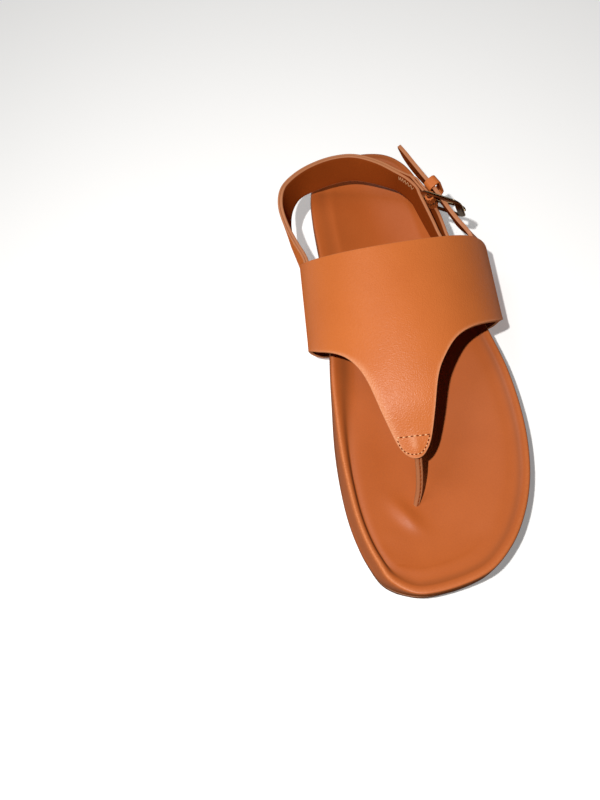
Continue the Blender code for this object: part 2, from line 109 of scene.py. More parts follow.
floor_data.materials.append(floor_finish)

# ---------------------------------------------------------------- outsole
# A moulded rubber slab, its tread a field of four-sided pits between crossing ridges. The
# footbed is cemented on, set back in a shallow recess that shows as a dark line all round.
SOLE_LENGTH = 258.0
OUTLINE = (  # station from the heel, half width on the big-toe side, on the outer side
    (3.2, 19.0, 10.5),
    (12.5, 30.8, 20.6),
    (27.0, 35.6, 27.3),
    (46.0, 36.3, 31.8),
    (70.0, 35.0, 36.0),
    (96.0, 34.1, 41.6),
    (124.0, 35.1, 47.8),
    (152.0, 37.4, 54.4),
    (180.0, 38.9, 56.6),
    (204.0, 37.9, 54.1),
    (224.0, 34.9, 47.5),
    (241.0, 29.2, 36.7),
    (252.5, 21.3, 22.0),
)
HEEL_TIP_X = -4.5
TOE_TIP_X = -4.5
ROWS = 132
OUTLINE_STEPS = 1600
TIP_CROWDING = 0.45  # how much closer the rows stand towards both tips
SPRING_START = -35.0
SPRING_RATE = 0.00125
SLAB_TOP = 5.6
SLAB_BEVEL = 0.6
RECESS_TOP = 7.8
RECESS_INSET = 2.0
POCKET_INSET = 14.0
POCKETS = ((-6.0, 80.0), (-8.0, 68.0))  # front and back y of the vamp's margin, on each side
PITCH = 11.5
RIDGE = 0.9
PIT_DEPTH = 3.0
PIT_BELOW = 0.25
TREAD_TURN = math.radians(42.0)
TREAD_ORIGIN = (-1.0, 92.0)
PITS_PAST = (5.0, 4.0)  # how far past the sole's sides and past its tips pits are still cut
TREAD_CORNER = math.radians(18.0)


def rows_at(table, at):
    """Catmull-Rom values of a table's later columns at a value of its first column."""
    table = np.asarray(table, float)
    keys = table[:, 0]
    at = min(max(at, keys[0]), keys[-1])
    low = min(int(np.searchsorted(keys, at, side="right")) - 1, len(keys) - 2)
    before, after = max(low - 1, 0), min(low + 2, len(keys) - 1)
    span = keys[low + 1] - keys[low]
    u = (at - keys[low]) / span
    start, end = table[low, 1:], table[low + 1, 1:]
    slope_start = (end - table[before, 1:]) / (keys[low + 1] - keys[before]) * span
    slope_end = (table[after, 1:] - start) / (keys[after] - keys[low]) * span
    return (
        (2 * u**3 - 3 * u**2 + 1) * start
        + (u**3 - 2 * u**2 + u) * slope_start
        + (3 * u**2 - 2 * u**3) * end
        + (u**3 - u**2) * slope_end
    )


def smooth(points, per_span):
    """The points of a short table with per_span steps between each two, on one smooth run."""
    table = [(float(i), *row) for i, row in enumerate(points)]
    steps = (len(table) - 1) * per_span
    return [rows_at(table, i / per_span) for i in range(steps + 1)]


def sole_side(column, sign):
    """Plan points of one side of the sole, heel tip to toe tip, evenly spread by length."""
    half = SOLE_LENGTH / 2
    other = 3 - column
    body = [(sign * row[column], half - row[0]) for row in OUTLINE]
    lead = (-sign * OUTLINE[0][other], half - OUTLINE[0][0])
    tail = (-sign * OUTLINE[-1][other], half - OUTLINE[-1][0])
    control = np.array([lead, (HEEL_TIP_X, half), *body, (TOE_TIP_X, -half), tail])
    lengths = np.linalg.norm(np.diff(control, axis=0), axis=1)
    keys = np.concatenate([[0.0], np.cumsum(np.sqrt(lengths))])
    table = np.column_stack([keys, control])
    steps = np.linspace(keys[1], keys[-2], OUTLINE_STEPS)
    fine = np.array([rows_at(table, step) for step in steps])
    along = np.concatenate([[0.0], np.cumsum(np.linalg.norm(np.diff(fine, axis=0), axis=1))])
    turn = np.linspace(0.0, math.pi, ROWS + 1)
    share = TIP_CROWDING * (1 - np.cos(turn)) / 2 + (1 - TIP_CROWDING) * turn / math.pi
    spots = share * along[-1]
    return np.column_stack([np.interp(spots, along, fine[:, i]) for i in (0, 1)])


def inset_normals(side, sign):
    """Unit plan vectors pointing from one side of the outline into the sole."""
    along = np.gradient(side, axis=0)
    along[0] = (sign, 0.0)
    along[-1] = (-sign, 0.0)
    normals = np.column_stack([sign * along[:, 1], -sign * along[:, 0]])
    return normals / np.linalg.norm(normals, axis=1)[:, None]


SIDES = (sole_side(1, -1), sole_side(2, 1))
INWARD = (inset_normals(SIDES[0], -1), inset_normals(SIDES[1], 1))
# The tables count X from the sole's long axis; the frame counts it from its own middle
AXIS_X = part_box("outsole")[0][0] / MM - SIDES[0][:, 0].min()


def spring(y):
    """How far the sole has curled up at a given y."""
    return SPRING_RATE * max(0.0, SPRING_START - y) ** 2


def half_width(side, y):
    """Distance of the sole's edge from the long axis on one side at a given y."""
    points = SIDES[side]
    return abs(float(np.interp(-y, -points[:, 1], points[:, 0])))


def edge_point(side, row, inset, z):
    """A point inset from the outline, lifted by the toe spring."""
    x, y = SIDES[side][row] + INWARD[side][row] * inset
    return np.array([x, y, z + spring(y)])


def new_object(name, bm):
    """A smooth-shaded mesh object in metres, made from a mesh drawn in millimetres."""
    bmesh.ops.translate(bm, vec=(AXIS_X, 0.0, 0.0), verts=bm.verts)
    bmesh.ops.scale(bm, vec=(MM, MM, MM), verts=bm.verts)
    mesh = bpy.data.meshes.new(name)
    bm.to_mesh(mesh)
    bm.free()
    mesh.shade_smooth()
    obj = bpy.data.objects.new(name, mesh)
    bpy.context.scene.collection.objects.link(obj)
    return obj


def grid_mesh(points):
    """A grid of faces through rows of points."""
    points = np.asarray(points, float)
    rows, columns = points.shape[:2]
    bm = bmesh.new()
    bmesh.ops.create_grid(bm, x_segments=columns - 1, y_segments=rows - 1, size=1)
    for vert, point in zip(bm.verts, points.reshape(-1, 3)):
        vert.co = point
    return bm


def solid(name, points):
    """A closed body whose sections are rings of points, one row to a section."""
    bm = grid_mesh([np.vstack([ring, ring[:1]]) for ring in np.asarray(points, float)])
    bmesh.ops.remove_doubles(bm, verts=bm.verts, dist=0.001)
    gaps = [edge for edge in bm.edges if edge.is_boundary]
    bmesh.ops.holes_fill(bm, edges=gaps, sides=0)
    bmesh.ops.recalc_face_normals(bm, faces=bm.faces)
    return new_object(name, bm)


def settled(obj):
    """Applies the modifiers of a piece, so that its mesh is the finished one."""
    graph = bpy.context.evaluated_depsgraph_get()
    mesh = bpy.data.meshes.new_from_object(obj.evaluated_get(graph))
    obj.modifiers.clear()
    old = obj.data
    obj.data = mesh
    mesh.name = obj.name
    bpy.data.meshes.remove(old)


def finish_of(name, dark, light, roughness, grain, relief, shine=0.3, shade_tint=None, pale_edge_and_highlight=None):
    """Two tones in soft blotches and fine specks, with a raised grain of a size in mm.

    Wax shines on faces that lie flat. Painted shade may darken steep faces and places marked
    with painted shade, and places marked as pale edge and painted highlight take a lighter
    colour of their own.
    """
    material = bpy.data.materials.new(name)
    material.use_nodes = True
    nodes, links = material.node_tree.nodes, material.node_tree.links
    surface = nodes["Principled BSDF"]
    surface.inputs["Specular IOR Level"].default_value = 0.0
    surface.inputs["Coat IOR"].default_value = 1.6
    place = nodes.new("ShaderNodeTexCoord").outputs["Object"]

    def noise(scale, detail):
        node = nodes.new("ShaderNodeTexNoise")
        node.inputs["Scale"].default_value = scale
        node.inputs["Detail"].default_value = detail
        links.new(place, node.inputs["Vector"])
        return node.outputs["Fac"]

    def ranged(value, low, high, to_low, to_high):
        node = nodes.new("ShaderNodeMapRange")
        node.inputs["From Min"].default_value = low
        node.inputs["From Max"].default_value = high
        node.inputs["To Min"].default_value = to_low
        node.inputs["To Max"].default_value = to_high
        links.new(value, node.inputs["Value"])
        return node.outputs["Result"]

    def added(first, second):
        node = nodes.new("ShaderNodeMath")
        node.operation = "ADD"
        links.new(first, node.inputs[0])
        links.new(second, node.inputs[1])
        return node.outputs[0]

    blotch = noise(30.0, 3.0)
    speck = noise(0.7 / (grain * MM), 2.0)
    mix = nodes.new("ShaderNodeMix")
    mix.data_type = "RGBA"
    share = added(ranged(blotch, 0.3, 0.7, 0.0, 0.62), ranged(speck, 0.3, 0.7, 0.0, 0.38))
    links.new(share, mix.inputs["Factor"])
    mix.inputs["A"].default_value = (*dark, 1.0)
    mix.inputs["B"].default_value = (*light, 1.0)
    split = nodes.new("ShaderNodeSeparateXYZ")
    links.new(nodes.new("ShaderNodeTexCoord").outputs["Normal"], split.inputs["Vector"])
    marks = {}
    for field in ("painted_shade", "pale_edge_and_highlight"):
        node = nodes.new("ShaderNodeAttribute")
        node.attribute_name = field
        marks[field] = node.outputs["Fac"]
    colour = mix.outputs["Result"]
    # pale edge and painted highlight: the marked amount, broken up by the grain's specks
    patchy = nodes.new("ShaderNodeMath")
    patchy.operation = "MULTIPLY"
    links.new(marks["pale_edge_and_highlight"], patchy.inputs[0])
    links.new(ranged(speck, 0.35, 0.65, 0.6, 1.15), patchy.inputs[1])
    # painted shade: steep faces and marked places darken towards the shade tint
    shade_amount = added(ranged(split.outputs["Z"], 0.45, 0.9, 1.0, 0.0), marks["painted_shade"])
    overlays = ((shade_tint, shade_amount), (pale_edge_and_highlight, patchy.outputs[0]))
    for tint, amount in overlays:
        if tint:
            over = nodes.new("ShaderNodeMix")
            over.data_type = "RGBA"
            links.new(amount, over.inputs["Factor"])
            links.new(colour, over.inputs["A"])
            over.inputs["B"].default_value = (*tint, 1.0)
            colour = over.outputs["Result"]
    links.new(colour, surface.inputs["Base Color"])
    links.new(ranged(split.outputs["Z"], 0.15, 0.75, 0.0, shine), surface.inputs["Coat Weight"])
    dullness = ranged(speck, 0.3, 0.7, roughness + 0.05, roughness - 0.05)
    links.new(dullness, surface.inputs["Roughness"])
    links.new(dullness, surface.inputs["Coat Roughness"])
    cells = nodes.new("ShaderNodeTexVoronoi")
    cells.feature = "SMOOTH_F1"
    cells.inputs["Scale"].default_value = 1.0 / (grain * MM)
    links.new(place, cells.inputs["Vector"])
    bump = nodes.new("ShaderNodeBump")
    bump.inputs["Distance"].default_value = 0.0001
    bump.inputs["Strength"].default_value = relief
    links.new(added(cells.outputs["Distance"], speck), bump.inputs["Height"])
    links.new(bump.outputs["Normal"], surface.inputs["Normal"])
    links.new(bump.outputs["Normal"], surface.inputs["Coat Normal"])
    return material


sections = []
for row in range(ROWS + 1):
    ring = []
    for side in (0, 1):
        y = SIDES[side][row][1]
        pocket = POCKETS[side][0] < y < POCKETS[side][1]
        inset = POCKET_INSET if pocket else RECESS_INSET
        profile = (
            (SLAB_BEVEL, 0.0),
            (0.3 * SLAB_BEVEL, 0.3 * SLAB_BEVEL),
            (0.0, SLAB_BEVEL),
            (0.0, SLAB_TOP - SLAB_BEVEL),
            (0.3 * SLAB_BEVEL, SLAB_TOP - 0.3 * SLAB_BEVEL),
            (SLAB_BEVEL, SLAB_TOP),
            (inset, SLAB_TOP),
            (inset, RECESS_TOP),
        )
        points = [edge_point(side, row, depth, z) for depth, z in profile]
        ring.extend(points if side == 0 else reversed(points))
    sections.append(ring)
outsole = solid("outsole_rubber", sections)

pits = bmesh.new()
pit_height = PIT_DEPTH + PIT_BELOW
half_base = (PITCH - RIDGE) / 2 * pit_height / PIT_DEPTH
reach = int(SOLE_LENGTH / PITCH) + 1
for i in range(-reach, reach):
    for j in range(-reach, reach):
        turned = Matrix.Rotation(TREAD_TURN, 2) @ Vector(((i + 0.5) * PITCH, (j + 0.5) * PITCH))
        x = TREAD_ORIGIN[0] + turned.x
        y = TREAD_ORIGIN[1] + turned.y
        past_side = not -half_width(0, y) - PITS_PAST[0] < x < half_width(1, y) + PITS_PAST[0]
        if past_side or abs(y) > SOLE_LENGTH / 2 + PITS_PAST[1]:
            continue
        slope = -2 * SPRING_RATE * max(0.0, SPRING_START - y)
        place = (
            Matrix.Translation((x, y, spring(y) - PIT_BELOW))
            @ Matrix.Rotation(math.atan(slope), 4, "X")
            @ Matrix.Rotation(TREAD_TURN + math.pi / 4, 4, "Z")
            @ Matrix.Translation((0.0, 0.0, pit_height / 2))
        )
        bmesh.ops.create_cone(
            pits,
            cap_ends=True,
            segments=4,
            radius1=half_base * math.sqrt(2),
            radius2=0.0,
            depth=pit_height,
            matrix=place,
        )
cutter = new_object("tread_pits", pits)
cut = outsole.modifiers.new("Tread", "BOOLEAN")
cut.operation = "DIFFERENCE"
cut.solver = "EXACT"
cut.object = cutter
settled(outsole)
bpy.data.objects.remove(cutter)
outsole.data.set_sharp_from_angle(angle=TREAD_CORNER)
outsole.data.materials.append(
    finish_of(
        "rubber",
        dark=(0.25, 0.105, 0.052),
        light=(0.36, 0.165, 0.085),
        roughness=0.5,
        grain=0.32,
        relief=0.5,
        # painted shade on the slab's steep sides
        shade_tint=(0.13, 0.055, 0.03),
    )
)
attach(outsole, "root")
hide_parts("outsole")

# ---------------------------------------------------------------- footbed
# A moulded board wrapped in smooth leather, cemented to the outsole: steep wall, rolled rim,
# heel cup, arch side higher, a faint bar under the toes. The top is bare of any print. Its
# colour has painted shade on the steep wall, along the crease and round the heel where the
# heel strap's shadow falls, and a painted highlight along the rim's crest.
FOOTBED_BASE = 8.1
FOOTBED = (  # station, rim height big-toe side, rim height outer side, height at the centre
    (0.0, 22.6, 22.6, 22.4),
    (12.0, 23.8, 23.6, 22.6),
    (28.0, 25.0, 24.4, 19.2),
    (60.0, 25.6, 23.6, 17.6),
    (95.0, 27.0, 22.6, 19.6),
    (125.0, 25.0, 21.6, 19.2),
    (150.0, 21.8, 20.2, 17.2),
    (180.0, 19.6, 19.0, 15.4),
    (210.0, 18.5, 18.2, 14.6),
    (238.0, 18.0, 18.0, 14.8),
    (258.0, 18.0, 18.0, 16.4),
)
WALL = (  # inset from the outline, share of the way from base to rim, drop in mm
    (1.8, 0.0, 0.0),
    (0.5, 0.0, -0.5),
    (0.0, 0.0, -2.2),
    (0.0, 0.45, 0.0),
    (0.1, 1.0, 2.6),
    (0.6, 1.0, 0.8),
    (1.5, 1.0, 0.0),
    (3.0, 1.0, 0.2),
    (5.2, 1.0, 1.3),
    (8.0, 1.0, 2.8),
    (10.6, 1.0, 3.9),
    (13.4, 1.0, 4.6),
)
CREASED = (  # the same where the leather is drawn into a crease along the rim
    (1.8, 0.0, 0.0),
    (0.5, 0.0, -0.5),
    (0.0, 0.0, -2.2),
    (0.0, 0.4, 0.0),
    (1.0, 1.0, 4.6),
    (2.9, 1.0, 2.0),
    (4.6, 1.0, 0.1),
    (5.6, 1.0, 0.1),
    (6.8, 1.0, 0.9),
    (7.5, 1.0, 2.4),
    (8.1, 1.0, 2.2),
    (10.0, 1.0, 1.9),
)
OUTER_WALL = (  # the same on the outer side, a flat rim and a low step
    (1.8, 0.0, 0.0),
    (0.5, 0.0, -0.5),
    (0.0, 0.0, -2.2),
    (0.0, 0.5, 0.0),
    (0.0, 1.0, 1.6),
    (0.25, 1.0, 0.5),
    (0.9, 1.0, 0.0),
    (2.4, 1.0, 0.0),
    (3.7, 1.0, 0.15),
    (4.9, 1.0, 0.55),
    (7.5, 1.0, 0.9),
    (12.0, 1.0, 1.1),
)
CREST = 6  # the profiles' row on top of the rim
GROOVE = 9  # the profiles' row in the crease
RIM_STEPS = 3  # steps between two rows of a profile
RIM = (  # big-toe side: station, share creased, share of outer wall, fall, painted highlight, painted shade
    (0.0, 0.0, 1.0, 1.0, 0.0, 0.3),
    (30.0, 0.0, 0.3, 0.6, 0.0, 0.2),
    (60.0, 0.0, 0.0, 0.45, 0.1, 0.2),
    (105.0, 0.0, 0.0, 0.8, 0.25, 0.35),
    (130.0, 0.0, 0.0, 1.1, 0.45, 0.5),
    (146.0, 0.05, 0.0, 1.1, 0.5, 0.5),
    (169.0, 0.5, 0.0, 1.0, 0.75, 0.4),
    (188.0, 0.8, 0.0, 1.0, 0.9, 0.3),
    (208.0, 1.0, 0.0, 1.0, 1.0, 0.3),
    (243.0, 1.0, 0.0, 0.9, 1.0, 0.35),
    (251.0, 0.7, 0.1, 0.7, 0.9, 0.35),
    (255.5, 0.3, 0.5, 0.6, 0.7, 0.35),
    (258.0, 0.0, 1.0, 1.0, 0.45, 0.35),
)
OUTER_RIM = (0.0, 1.0, 1.0, 0.3, 0.4)
HIGHLIGHT_REACH = 1.0
SHADE_REACH = (1.1, 2.2)  # of the painted crease shade: least, and more where the rim is soft
DISH = np.linspace(0.0, 1.0, 15)[1:]
DISH_POWER = 1.8
DISH_WIDTHS = (26.0, 60.0)  # across the heel and the toes, where the dish reaches its full depth
HEEL_SHADE = (30.0, 0.8, 5.0)  # painted strap shadow round the heel: last station, amount, reach
EVEN_Y = (-96.0, -106.0)  # where the toe end starts to be drawn level and where it is level
EVEN_INSET = (8.3, 14.0)  # the same, by the distance from the sole's edge
TOP_ABOVE = 3.0  # over the footbed's base, where its top begins
EVEN_DEGREE = 3  # of the level surface's height, in x and y
FIT_MORE = 8.0  # how much of the top behind the toe end the level surface also follows
FOOTBED_CORNER = math.radians(50.0)
FORMS_FADE = 1 / 3  # the share of the dish over which the swellings rise from its edge
FORMS = (  # x, y, turn in degrees, half length, half breadth and height of soft swellings
    (-7.4, -91.3, -54.0, 9.0, 3.4, 1.7),
    (-10.0, -52.0, 95.0, 24.0, 15.0, -0.8),
    (22.0, -62.0, 90.0, 22.0, 20.0, -0.3),
)


def swelling(x, y):
    """How far the footbed's soft forms lift its top at a point."""
    lift = 0.0
    for at_x, at_y, turn, length, breadth, height in FORMS:
        cos, sin = math.cos(math.radians(turn)), math.sin(math.radians(turn))
        along = ((x - at_x) * cos + (y - at_y) * sin) / length
        across = ((y - at_y) * cos - (x - at_x) * sin) / breadth
        lift += height * math.exp(-(along**2) - across**2)
    return lift


def ease(value, start, end):
    """A smooth step from 0 at the start to 1 at the end."""
    share = np.clip((value - start) / (end - start), 0.0, 1.0)
    return share**2 * (3 - 2 * share)


def level_toe(obj):
    """Draws the toe end of the footbed's top towards one smooth surface, inside the rim."""
    edge_line = np.vstack(SIDES) + (AXIS_X, 0.0)
    found = []
    for vert in obj.data.vertices:
        x, y, z = vert.co / MM
        if y > EVEN_Y[0] + FIT_MORE or z < FOOTBED_BASE + spring(y) + TOP_ABOVE:
            continue
        inset = np.linalg.norm(edge_line - (x, y), axis=1).min()
        if inset > EVEN_INSET[0]:
            found.append((vert.index, x, y, z, inset))
    index, x, y, z, inset = np.array(found).T
    powers = [(i, j) for i in range(EVEN_DEGREE + 1) for j in range(EVEN_DEGREE + 1 - i)]
    terms = np.stack([x**i * (y / 10) ** j for i, j in powers], axis=1)
    even = terms @ np.linalg.lstsq(terms, z, rcond=None)[0]
    level = z + (even - z) * ease(y, *EVEN_Y) * ease(inset, *EVEN_INSET)
    for i, height in zip(index.astype(int), level):
        obj.data.vertices[i].co.z = height * MM


def mark_near(obj, field, spots):
    """Marks the corners of a piece near spots, each a point, an amount and a reach."""
    corners = np.array([vert.co for vert in obj.data.vertices]) / MM - (AXIS_X, 0.0, 0.0)
    marked = np.zeros(len(corners))
    for point, amount, reach in spots:
        gaps = ((corners - point) ** 2).sum(axis=1)
        marked = np.maximum(marked, amount * np.exp(-gaps / reach**2))
    obj.data.attributes.new(field, "FLOAT", "POINT").data.foreach_set("value", marked)


sections = []
crest_highlight = []
painted_shade = []
for row in range(ROWS + 1):
    sides = []
    for side in (0, 1):
        station = SOLE_LENGTH / 2 - SIDES[side][row][1]
        rim = rows_at(FOOTBED, station)[side]
        form = OUTER_RIM if side else rows_at(RIM, station)
        creased, flat, depth, highlight_share, shade_share = form
        profile = np.array(WALL) * (1 - creased - flat)
        profile += np.array(CREASED) * creased + np.array(OUTER_WALL) * flat
        profile[CREST:, 2] *= depth
        points = []
        for inset, share, drop in smooth(profile, RIM_STEPS):
            z = FOOTBED_BASE + (rim - FOOTBED_BASE) * share - drop
            points.append(edge_point(side, row, inset, z))
        sides.append(points)
        crest = points[RIM_STEPS * CREST]
        # painted highlight just outside the rim's crest
        crest_highlight.append((points[RIM_STEPS * CREST + 1], highlight_share, HIGHLIGHT_REACH))
        # painted shadow of the heel strap on the heel's rim
        if station < HEEL_SHADE[0]:
            fade = 1 - station / HEEL_SHADE[0]
            painted_shade.append((crest, HEEL_SHADE[1] * fade, HEEL_SHADE[2]))
        # painted shade along the crease inside the rim
        reach = SHADE_REACH[0] + SHADE_REACH[1] * (1 - creased - 0.8 * flat)
        painted_shade.append((points[RIM_STEPS * GROOVE], shade_share, reach))
    inner, outer = sides
    middle = (inner[-1] + outer[-1]) / 2
    full = DISH_WIDTHS[int(middle[1] < 0)]
    width = np.linalg.norm(inner[-1][:2] - outer[-1][:2])
    floor_z = rows_at(FOOTBED, SOLE_LENGTH / 2 - middle[1])[2] + spring(middle[1])
    middle[2] += (floor_z - middle[2]) * ease(width, 0.0, full)
    across = []
    for edge in (inner[-1], outer[-1]):
        points = [edge + (middle - edge) * share for share in DISH]
        for point, share in zip(points, DISH):
            point[2] = middle[2] + (edge[2] - middle[2]) * (1 - share) ** DISH_POWER
            point[2] += swelling(point[0], point[1]) * min(1.0, share / FORMS_FADE)
        across.append(points)
    sections.append(inner + across[0] + across[1][-2::-1] + outer[::-1])
footbed = solid("footbed_leather", sections)
level_toe(footbed)
footbed.data.set_sharp_from_angle(angle=FOOTBED_CORNER)
footbed.data.materials.append(
    finish_of(
        "footbed_leather",
        dark=(0.375, 0.083, 0.0145),
        light=(0.435, 0.104, 0.022),
        roughness=0.44,
        grain=0.5,
        relief=0.2,
        shine=0.35,
        # painted shade tint for the steep wall and the crease, and a lighter colour for the
        # crest's painted highlight
        shade_tint=(0.2, 0.055, 0.015),
        pale_edge_and_highlight=(0.58, 0.185, 0.062),
    )
)
mark_near(footbed, "pale_edge_and_highlight", crest_highlight)
mark_near(footbed, "painted_shade", painted_shade)
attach(footbed, "root")
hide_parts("footbed")

# ---------------------------------------------------------------- vamp
# One sheet of smooth leather from the outsole on one side to the other, its front drawn out
# into a tongue; lined in darker leather, its cut edge painted. Both sides are lasted under
# the footbed.
LEATHER = 1.9
LEAN = 0.55  # how far the planes that q numbers lean towards the toe, for each mm of height
LEAN_BASE = 12.0  # the height at which a plane's y is its q
SIDE_INNER = -47.0
SIDE_OUTER = 57.5
SIDE_HEIGHT = 18.0
MARGIN = 11.0
# q, height of the vamp's middle
CROWN = ((-56.0, 36.5), (-42.0, 41.5), (-24.0, 48.0), (7.0, 54.5), (35.0, 58.0), (64.0, 60.0))
VAMP_EDGES = (  # x, q of the front edge, q of the back edge
    (-47.0, 7.2, 63.0),
    (-44.0, 7.0, 62.4),
    (-38.5, 6.6, 62.4),
    (-33.0, 5.7, 62.4),
    (-27.0, 3.0, 62.4),
    (-22.5, -1.7, 62.4),
    (-19.0, -7.6, 62.4),
    (-16.2, -16.0, 62.4),
    (-14.0, -25.0, 62.4),
    (-12.0, -32.5, 62.4),
    (-10.4, -38.0, 62.4),
    (-9.0, -43.0, 62.4),
    (-7.4, -48.0, 62.4),
    (-5.0, -52.2, 62.4),
    (-2.0, -54.8, 62.4),
    (1.0, -55.6, 62.4),
    (4.0, -54.0, 62.4),
    (6.6, -49.8, 62.4),
    (8.2, -46.0, 62.4),
    (9.6, -40.6, 62.4),
    (11.0, -34.0, 62.4),
    (12.5, -26.9, 62.4),
    (14.2, -18.0, 62.4),
    (16.4, -10.0, 62.4),
    (19.4, -4.5, 62.4),
    (23.4, 1.6, 62.4),
    (27.6, 6.1, 62.4),
    (33.5, 9.2, 62.4),
    (41.0, 10.6, 62.2),
    (48.0, 10.6, 61.0),
    (53.0, 10.2, 58.6),
    (56.4, 9.8, 55.0),
    (57.5, 9.2, 52.0),
)
VAMP_ROWS = 24
OUTER_SET_BACK = 3.0
BULGE = (0.5, 2.2, 0.6, -41.0, -47.0)  # x, half width and height of the post's end; q from, to
ROLL_DEPTH = 0.3
ROLL_WIDTH = 3.5
ROLL_FADE = 4.0  # the distance from the middle over which the edge begins to be turned down
FLATTER = 0.0026  # lift of the tongue's sides by the square of their distance from the middle
FLATTER_Q = (12.0, -8.0)  # where that starts and where it is full
MIDDLE = (SIDE_INNER + SIDE_OUTER) / 2
SPAN = (SIDE_OUTER - SIDE_INNER) / 2
MARGIN_Z = SLAB_TOP + 0.3
TUCK = (  # outset from the sole's edge, share of the way to the side, height, front q, back trim
    (-MARGIN, 0.0, MARGIN_Z, 1.5, 2.0),
    (-4.0, 0.0, MARGIN_Z, 1.0, 0.6),
    (0.8, 0.0, MARGIN_Z + 0.3, 1.0, 0.0),
    (0.3, 0.4, 7.5, 1.6, 0.0),
    (0.0, 0.78, 9.6, 3.4, 0.0),
    (0.0, 0.97, 13.4, 6.0, 0.0),
)
# A paler line along the vamp's front edge: partly the painted cut edge, partly a painted highlight
# on the rolled edge; the wider band along the tongue's big-toe side is a painted highlight.
PALE_EDGE_PLUS_HIGHLIGHT = (  # x, how much lighter the front edge is there, how far in from the edge
    (-47.0, 0.6, 0.9),
    (-27.0, 0.9, 1.0),
    (-20.0, 0.9, 2.2),
    (-14.0, 0.9, 2.8),
    (-9.0, 0.9, 2.2),
    (-6.0, 0.9, 1.2),
    (8.0, 0.8, 0.9),
    (57.5, 0.6, 0.8),
)
# painted highlight over the post's end
BULGE_HIGHLIGHT = ((-0.4, -44.0), (0.0, -46.0), (0.2, -48.5))  # x, q over the post's end
FRONT_EDGE = smooth([row[:2] for row in VAMP_EDGES], 4)


def vamp_point(x, q):
    """A point on the vamp's outer face, given x and the number of its leaning plane."""
    share = min(1.0, abs(x - MIDDLE) / SPAN)
    crown = rows_at(CROWN, q)[0]
    z = SIDE_HEIGHT + (crown - SIDE_HEIGHT) * math.sqrt(1 - share**2)
    y = q - LEAN * (z - LEAN_BASE)
    begins = min(1.0, max(0.0, (BULGE[3] - q) / (BULGE[3] - BULGE[4])))
    lift = BULGE[2] * begins * math.exp(-(((x - BULGE[0]) / BULGE[1]) ** 2))
    from_edge = min(math.hypot(x - at[0], q - at[1]) for at in FRONT_EDGE)
    turned_down = ROLL_DEPTH * max(0.0, 1.0 - from_edge / ROLL_WIDTH) ** 2
    turned_down *= min(1.0, max(0.0, -x / ROLL_FADE))
    flat = FLATTER * (x - MIDDLE) ** 2
    flat *= min(1.0, max(0.0, (FLATTER_Q[0] - q) / (FLATTER_Q[0] - FLATTER_Q[1])))
    return (x, y, z + lift + flat - turned_down)


def tuck_points(side, q_shift, q_back, share):
    """The column of points that carries the vamp's side under the footbed, at one depth."""
    points = []
    wall = (-SIDE_INNER, SIDE_OUTER)[side]
    sign = (-1, 1)[side]
    for outset, way, z, front, trim in TUCK:
        q = front + q_shift + (q_back - trim - front - q_shift) * share
        y = q - LEAN * (z - LEAN_BASE)
        edge = half_width(side, y)
        points.append((sign * (edge + outset + (wall - edge) * way), y, z))
    return points


def leather(name, rows, thickness, levels, finishes, round_edge=0.5):
    """A leather sheet: outer face through rows of points, then lining and a rounded cut edge."""
    obj = new_object(name, grid_mesh(rows))
    curve = obj.modifiers.new("Curve", "SUBSURF")
    curve.levels = levels
    curve.render_levels = levels
    shell = obj.modifiers.new("Thickness", "SOLIDIFY")
    shell.thickness = thickness * MM
    shell.offset = -1.0
    shell.use_even_offset = True
    shell.material_offset = 1
    shell.material_offset_rim = 2
    edge = obj.modifiers.new("Round edge", "BEVEL")
    edge.width = round_edge * MM
    edge.segments = 3
    edge.limit_method = "ANGLE"
    edge.angle_limit = math.radians(50.0)
    edge.material = 2
    for finish in finishes:
        obj.data.materials.append(finish)
    settled(obj)
    obj.data.shade_smooth()
    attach(obj, "root")
    return obj


TAN = finish_of(
    "tan_leather",
    dark=(0.47, 0.118, 0.025),
    light=(0.53, 0.144, 0.034),
    roughness=0.4,
    grain=0.5,
    relief=1.0,
    shine=0.28,
    # lighter colour for the pale front edge and the painted highlights
    pale_edge_and_highlight=(0.62, 0.25, 0.12),
)
LINING = finish_of(
    "lining_leather",
    dark=(0.22, 0.042, 0.006),
    light=(0.29, 0.058, 0.009),
    roughness=0.6,
    grain=0.5,
    relief=0.15,
    shine=0.2,
)
EDGE_PAINT = finish_of(
    "edge_paint",
    dark=(0.385, 0.142, 0.06),
    light=(0.44, 0.172, 0.075),
    roughness=0.5,
    grain=0.9,
    relief=0.1,
)
THREAD = finish_of(
    "thread",
    dark=(0.62, 0.36, 0.18),
    light=(0.75, 0.47, 0.26),
    roughness=0.6,
    grain=0.3,
    relief=0.6,
)
# painted shade: near-black beads in the needle holes, the punched holes' walls and the bore
HOLE_SHADE = finish_of(
    "painted_hole_shade",
    dark=(0.10, 0.018, 0.005),
    light=(0.14, 0.026, 0.007),
    roughness=0.9,
    grain=0.5,
    relief=0.1,
    shine=0.1,
)
HIDE = (TAN, LINING, EDGE_PAINT)
D_ROW_PITCH = 2.6
D_ROW = ((-7.4, -43.1), (0.3, -43.1), (8.0, -43.1))  # x, q of the straight seam over the post
D_CURVE_PITCH = 1.95
D_CURVE = (  # x, q of the seam round the tongue's tip
    (-7.5, -43.8),
    (-6.5, -48.0),
    (-5.0, -50.5),
    (-2.8, -52.2),
    (0.0, -53.0),
    (2.5, -52.5),
    (4.8, -50.2),
    (6.5, -47.0),
    (7.8, -43.5),
)


def skin_of(obj):
    """A lookup of the nearest place on a piece, in the tables' own millimetres."""
    shift = Vector((AXIS_X, 0.0, 0.0))
    corners = [vert.co / MM - shift for vert in obj.data.vertices]
    return BVHTree.FromPolygons(corners, [face.vertices for face in obj.data.polygons])


